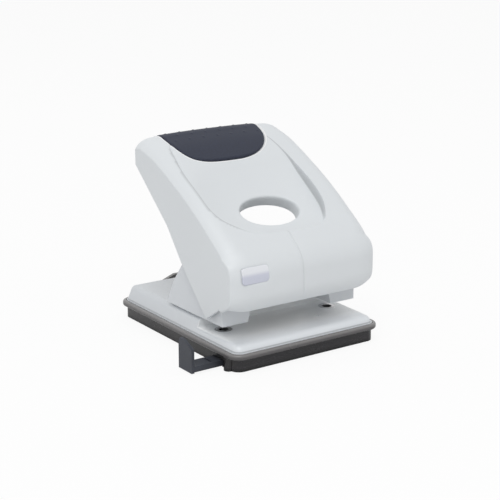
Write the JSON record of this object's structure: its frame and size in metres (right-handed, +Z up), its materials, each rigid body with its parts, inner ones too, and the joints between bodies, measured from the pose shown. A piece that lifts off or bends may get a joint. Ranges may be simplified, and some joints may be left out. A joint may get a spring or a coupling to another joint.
{
  "type": "lever hole punch",
  "caption": "Manual desk hole punch with a sprung hand lever, coupled punch pins, a sliding paper guide and a hinged chip tray.",
  "frame": {"origin": "centre of the base, on the underside, at the level of the table", "axes": "+X to the right along the front edge where paper goes in, +Y to the back, +Z up"},
  "size_m": [0.1312, 0.1405, 0.1271],
  "materials": {
    "cover_plastic": "light grey, fine satin moulding",
    "plate_paint": "pale grey gloss powder coat",
    "head_paint": "pale grey satin powder coat",
    "smoke_plastic": "dark smoke grey, glossy",
    "guide_plastic": "dark slate grey, satin",
    "grip_rubber": "dark blue grey with raised dots",
    "pad_rubber": "matt black",
    "tool_steel": "ground",
    "plated_steel": "zinc plated",
    "badge_plastic": "plain pale grey"
  },
  "bodies": {
    "frame": {"base_plate": "plate_paint", "punch_head_left": "head_paint", "punch_head_right": "head_paint", "die_bushing_left": "tool_steel", "die_bushing_right": "tool_steel", "spring_washer_left": "plated_steel", "spring_washer_right": "plated_steel", "pin_spring_left": "tool_steel", "pin_spring_right": "tool_steel", "head_rivets": "plated_steel", "frame_brace": "plated_steel", "pivot_shaft": "tool_steel", "shaft_clips": "plated_steel"},
    "lever": {"press_lever": "plated_steel", "press_bar": "tool_steel", "bar_clips": "plated_steel", "handle_cover": "cover_plastic", "cover_screws": "plated_steel", "grip_pad": "grip_rubber", "blank_badge": "badge_plastic"},
    "pin_left": {"punch_pin_left": "tool_steel"},
    "pin_right": {"punch_pin_right": "tool_steel"},
    "tray": {"chip_tray": "smoke_plastic", "anti_slip_pads": "pad_rubber"},
    "guide": {"paper_guide": "guide_plastic"}
  },
  "joints": [
    {"name": "lever_pivot", "type": "hinge", "parent": "frame", "child": "lever", "pos_m": [0, -0.048, 0.051], "axis": [-1, 0, 0], "range_deg": [0, 38], "stiffness_Nm_per_rad": 1, "springref_deg": -17.19},
    {"name": "pin_slide_left", "type": "slide", "parent": "frame", "child": "pin_left", "axis": [0, 0, -1], "range_m": [0, 0.0099], "deforming": ["pin_spring_left"]},
    {"name": "pin_slide_right", "type": "slide", "parent": "frame", "child": "pin_right", "axis": [0, 0, -1], "range_m": [0, 0.0099], "deforming": ["pin_spring_right"]},
    {"name": "tray_hinge", "type": "hinge", "parent": "frame", "child": "tray", "pos_m": [0, -0.0685, 0.012], "axis": [-1, 0, 0], "range_deg": [0, 50]},
    {"name": "guide_slide", "type": "slide", "parent": "tray", "child": "guide", "axis": [-1, 0, 0], "range_m": [-0.015, 0.0745]}
  ],
  "couplings": [
    {"joint": "pin_slide_left", "follows": "lever_pivot", "m_per_rad": 0.0148},
    {"joint": "pin_slide_right", "follows": "lever_pivot", "m_per_rad": 0.0148}
  ]
}
